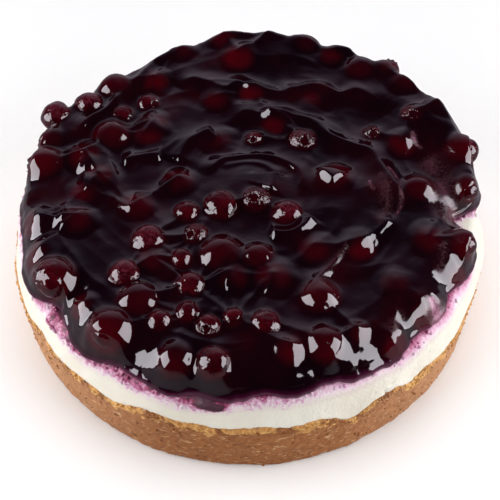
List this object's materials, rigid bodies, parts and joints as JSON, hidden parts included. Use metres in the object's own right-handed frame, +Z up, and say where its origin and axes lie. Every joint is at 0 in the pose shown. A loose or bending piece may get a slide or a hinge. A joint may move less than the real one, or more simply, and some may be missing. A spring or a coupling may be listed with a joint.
{
  "type": "mini cheesecake",
  "caption": "Small round cheesecake: pressed biscuit crust, set cream filling and a thick glossy blueberry topping with whole berries.",
  "frame": {"origin": "centre of the flat underside of the crust, on the surface that the cake stands on", "axes": "+Z up through the crust, filling and topping; -Y towards the side that the picture shows"},
  "size_m": [0.1218, 0.1216, 0.0391],
  "materials": {
    "crust": "pressed crumbed biscuit, dry and matt, golden brown",
    "filling": "set cream cheese, smooth and satin, stained violet under the glaze",
    "glaze": "thick fruit gel, wet and very glossy, nearly black violet",
    "berry": "cooked blueberry skin coated in gel, dark crimson"
  },
  "bodies": {
    "root": {"crust": "crust", "filling": "filling", "glaze": "glaze", "berry_01": "berry", "berry_02": "berry", "berry_03": "berry", "berry_04": "berry", "berry_05": "berry", "berry_06": "berry", "berry_07": "berry", "berry_08": "berry", "berry_09": "berry", "berry_10": "berry", "berry_11": "berry", "berry_12": "berry", "berry_13": "berry", "berry_14": "berry", "berry_15": "berry", "berry_16": "berry", "berry_17": "berry", "berry_18": "berry", "berry_19": "berry", "berry_20": "berry", "berry_21": "berry", "berry_22": "berry", "berry_23": "berry", "berry_24": "berry", "berry_25": "berry", "berry_26": "berry", "berry_27": "berry", "berry_28": "berry", "berry_29": "berry", "berry_30": "berry", "berry_31": "berry", "berry_32": "berry", "berry_33": "berry", "berry_34": "berry", "berry_35": "berry", "berry_36": "berry", "berry_37": "berry", "berry_38": "berry", "berry_39": "berry", "berry_40": "berry", "berry_41": "berry", "berry_42": "berry"}
  },
  "joints": []
}
